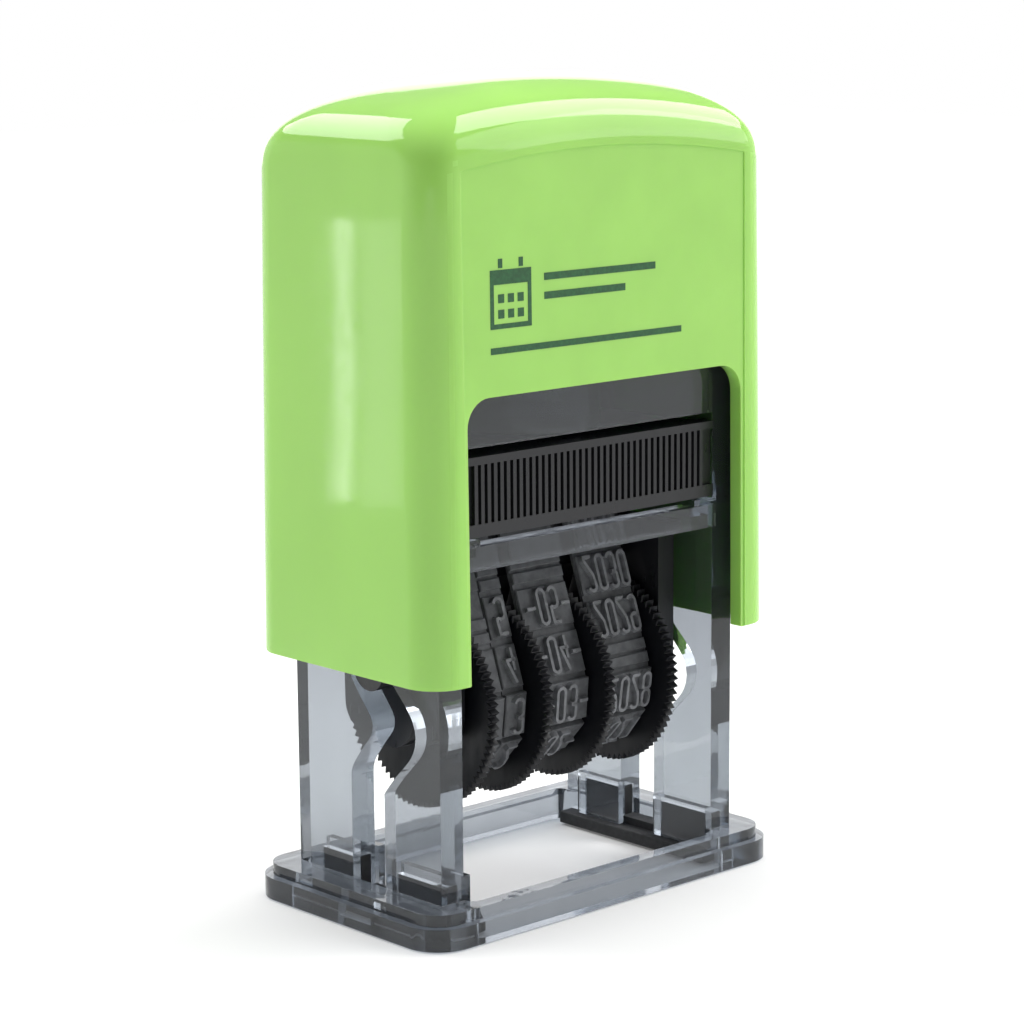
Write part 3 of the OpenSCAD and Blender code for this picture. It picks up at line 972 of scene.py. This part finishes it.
def finish_node(node, material, bevel, segments=2):
    """Gives a CAD node its material and rounds its edges."""
    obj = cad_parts[node]
    obj.data.materials.clear()
    obj.data.materials.append(material)
    for polygon in obj.data.polygons:
        polygon.material_index = 0
    weld = obj.modifiers.new("weld", "WELD")
    weld.merge_threshold = WELD * MM
    round_edges(obj, bevel, segments, 32)
    keep_flats(obj)


def finish_nodes():
    """The CAD nodes that are shown as they are, with rounded edges."""
    finish_node("frame", SMOKE_CLEAR, 0.16, 3)
    for node in ("carrier_yoke", "carriage_left_plate", "carriage_right_plate", "type_platen"):
        finish_node(node, BLACK_PLASTIC, 0.12)
    finish_node("ink_tray", BLACK_PLASTIC, 0.06)
    for node in ("tens_wheel", "units_wheel", "month_wheel", "year_wheel"):
        finish_node(node, WHEEL_PLASTIC, 0.05, 1)
    for node in ("left_foot_insert", "right_foot_insert"):
        finish_node(node, FOOT_RUBBER, 0.1)
    finish_node("wheel_axle", DRAWN_STEEL, 0.1)


# ---- stage ---------------------------------------------------------------------------------

def build_stage():
    """Pale floor, so evenly lit that its far edge melts into the backdrop."""
    m = Nodes("stage")
    reach = m.node("ShaderNodeVectorMath", operation="LENGTH")
    m.link(m.place, reach.inputs[0])
    # distances in metres between which the lit floor turns into plain white
    fade = m.node("ShaderNodeMapRange", interpolation_type="SMOOTHSTEP")
    fade.inputs["From Min"].default_value = 0.02
    fade.inputs["From Max"].default_value = 0.16
    m.link(reach.outputs["Value"], fade.inputs["Value"])
    far = fade.outputs["Result"]
    near = m.mix(m.spread(m.noise(40, 2), 0, 1), (0.80, 0.80, 0.80), (0.84, 0.84, 0.84))
    m.colour(m.mix(far, near, (0.02, 0.02, 0.02)))
    m.link(m.mix(far, (0.12, 0.12, 0.12), (1, 1, 1)), m.shader.inputs["Emission Color"])
    m.set(Roughness=0.9, Emission_Strength=1.0, Specular_IOR_Level=0.0)
    half = 900
    verts = [(-half, -half, 0), (half, -half, 0), (half, half, 0), (-half, half, 0)]
    floor = add_object("floor", verts, [(0, 1, 2, 3)], None, m.material)
    floor.location.z = -0.0001


def direction(turn, rise):
    """Direction from the stamp: turn from the front to the left, then up by rise."""
    return Vector((-math.sin(turn) * math.cos(rise), -math.cos(turn) * math.cos(rise), math.sin(rise)))


def add_light(name, turn, rise, distance, width, height, radiance, aim_z=0.03, visible=True):
    """Soft box aimed at the stamp, not seen by the camera.

    turn is the angle from the front, positive to the left, and rise is the angle above the horizon, both
    in degrees. Lengths are in metres. A light that isn't visible makes no reflection either.
    """
    data = bpy.data.lights.new(name, "AREA")
    data.shape = "RECTANGLE"
    data.size = width
    data.size_y = height
    data.energy = radiance * math.pi * width * height
    light = bpy.data.objects.new(name, data)
    bpy.context.scene.collection.objects.link(light)
    away = direction(math.radians(turn), math.radians(rise))
    light.location = Vector((0, 0, aim_z)) + away * distance
    light.rotation_euler = (-away).to_track_quat("-Z", "Y").to_euler()
    light.visible_glossy = visible
    light.visible_camera = False


def build_world():
    """White tent: bright at the horizon, dimmer in a band above it, bright again overhead."""
    world = bpy.data.worlds.new("studio")
    bpy.context.scene.world = world
    world.use_nodes = True
    tree = world.node_tree
    background = tree.nodes["Background"]
    place = tree.nodes.new("ShaderNodeTexCoord")
    split = tree.nodes.new("ShaderNodeSeparateXYZ")
    ramp = tree.nodes.new("ShaderNodeValToRGB")
    path = tree.nodes.new("ShaderNodeLightPath")
    tree.links.new(place.outputs["Generated"], split.inputs["Vector"])
    tree.links.new(split.outputs["Z"], ramp.inputs["Fac"])
    # brightness at each height, from the horizon at 0 to straight up at 1
    stops = ((0.0, 0.95), (0.2, 0.95), (0.36, 0.36), (0.55, 0.36), (0.8, 0.5))
    elements = ramp.color_ramp.elements
    while len(elements) < len(stops):
        elements.new(0.5)
    for element, (place_z, level) in zip(elements, stops):
        element.position = place_z
        element.color = (level, level, level, 1)
    # less light comes from the camera's side, so the near corner reads darker
    facing = tree.nodes.new("ShaderNodeVectorMath")
    facing.operation = "DOT_PRODUCT"
    facing.inputs[1].default_value = direction(VIEW_TURN, 0)
    tree.links.new(place.outputs["Generated"], facing.inputs[0])
    dim = tree.nodes.new("ShaderNodeMapRange")
    for key, value in (("From Min", 0.3), ("From Max", 0.95), ("To Min", 1.0), ("To Max", 0.15)):
        dim.inputs[key].default_value = value
    tree.links.new(facing.outputs["Value"], dim.inputs["Value"])
    scaled = tree.nodes.new("ShaderNodeVectorMath")
    scaled.operation = "SCALE"
    tree.links.new(ramp.outputs["Color"], scaled.inputs[0])
    tree.links.new(dim.outputs["Result"], scaled.inputs["Scale"])
    # the camera sees a plain white backdrop instead of the tent
    mixer = tree.nodes.new("ShaderNodeMix")
    mixer.data_type = "RGBA"
    tree.links.new(path.outputs["Is Camera Ray"], mixer.inputs[0])
    tree.links.new(scaled.outputs["Vector"], mixer.inputs[6])
    mixer.inputs[7].default_value = (1, 1, 1, 1)
    tree.links.new(mixer.outputs[2], background.inputs["Color"])
    background.inputs["Strength"].default_value = 1.0


def build_lights():
    """Boxes behind and above the stamp, fills in front and the strips in its left side."""
    build_world()
    add_light("right_back_box", -80, 46, 0.5, 0.26, 0.34, 5.0)
    add_light("right_low_box", -54, 28, 0.5, 0.26, 0.34, 2.0)
    add_light("left_back_box", 166, 44, 0.5, 0.36, 0.28, 4.2)
    add_light("horizon_card", 222.6, 11, 0.6, 0.7, 0.25, 1.1)
    add_light("top_box", 220, 84, 0.5, 0.4, 0.4, 2.4, visible=False)
    add_light("left_fill", 125, 4, 0.6, 0.3, 0.3, 0.8, visible=False)
    add_light("front_fill", -45, 25, 0.6, 0.4, 0.3, 0.8, visible=False)
    # two upright strips mirrored in the left side
    add_light("thin_strip", 135.8, 0, 0.163, 0.0024, 0.034, 4.0, aim_z=0.022)
    add_light("broad_strip", 134.0, 0, 0.160, 0.0045, 0.034, 1.1, aim_z=0.022)


def build_camera():
    """Camera at the reference view."""
    data = bpy.data.cameras.new("camera")
    data.lens = LENS
    data.sensor_width = 36
    data.clip_start = 0.01
    data.clip_end = 10
    camera = bpy.data.objects.new("camera", data)
    bpy.context.scene.collection.objects.link(camera)
    away = direction(VIEW_TURN, VIEW_RISE)
    camera.location = VIEW_TARGET + away * VIEW_DISTANCE
    camera.rotation_euler = (-away).to_track_quat("-Z", "Y").to_euler()
    camera.rotation_euler.rotate_axis("Z", -VIEW_ROLL)
    bpy.context.scene.camera = camera


build_cover()
build_cover_ribs()
build_print()
build_bands()
build_spring()
build_felt()
finish_nodes()
build_stage()
build_lights()
build_camera()
bpy.context.scene.view_settings.view_transform = "Standard"
